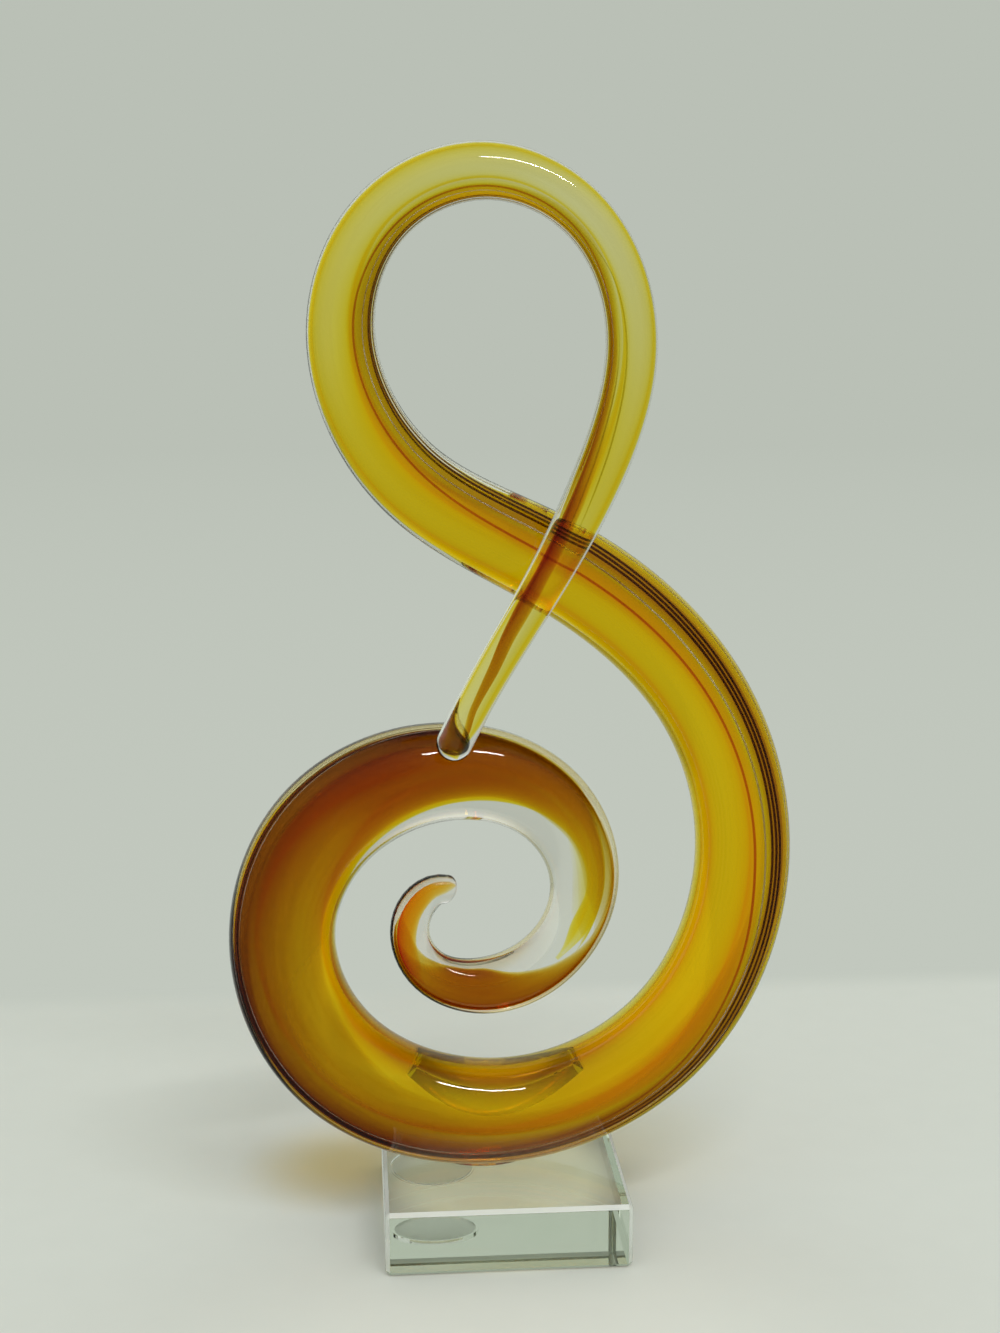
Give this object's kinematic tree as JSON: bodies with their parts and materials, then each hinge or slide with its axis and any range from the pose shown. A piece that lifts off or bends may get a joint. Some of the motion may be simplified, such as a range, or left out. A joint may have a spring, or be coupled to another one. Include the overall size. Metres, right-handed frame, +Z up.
{
  "type": "glass treble clef figurine",
  "caption": "Treble clef bent from a cased glass rod in amber, orange and clear, with fine colour lines inside, standing on a square clear glass block.",
  "frame": {"origin": "centre of the block's underside, on the surface that it stands on", "axes": "+Z up, +X to the right and -Y towards the viewer, with the clef seen from its front; the clef's own plane is X-Z"},
  "size_m": [0.1618, 0.07, 0.3108],
  "materials": {
    "block_glass": "polished faces, ground chamfers",
    "label_film": "matte clear film, bare",
    "clear_adhesive": "cured clear adhesive",
    "clear_glass": "fire polished",
    "amber_glass": "fire polished, transparent amber",
    "orange_glass": "fire polished, deep transparent orange",
    "orange_thread_glass": "fine opaque line in the glass",
    "pale_thread_glass": "fine milky line in the glass",
    "brown_thread_glass": "fine opaque line in the glass"
  },
  "bodies": {
    "root": {"base_block": "block_glass", "base_label": "label_film", "bond_film": "clear_adhesive", "clear_casing": "clear_glass", "amber_core": "amber_glass", "orange_ribbon": "orange_glass", "orange_thread": "orange_thread_glass", "pale_thread": "pale_thread_glass", "brown_thread_1": "brown_thread_glass", "brown_thread_2": "brown_thread_glass", "brown_thread_3": "brown_thread_glass"}
  },
  "joints": []
}
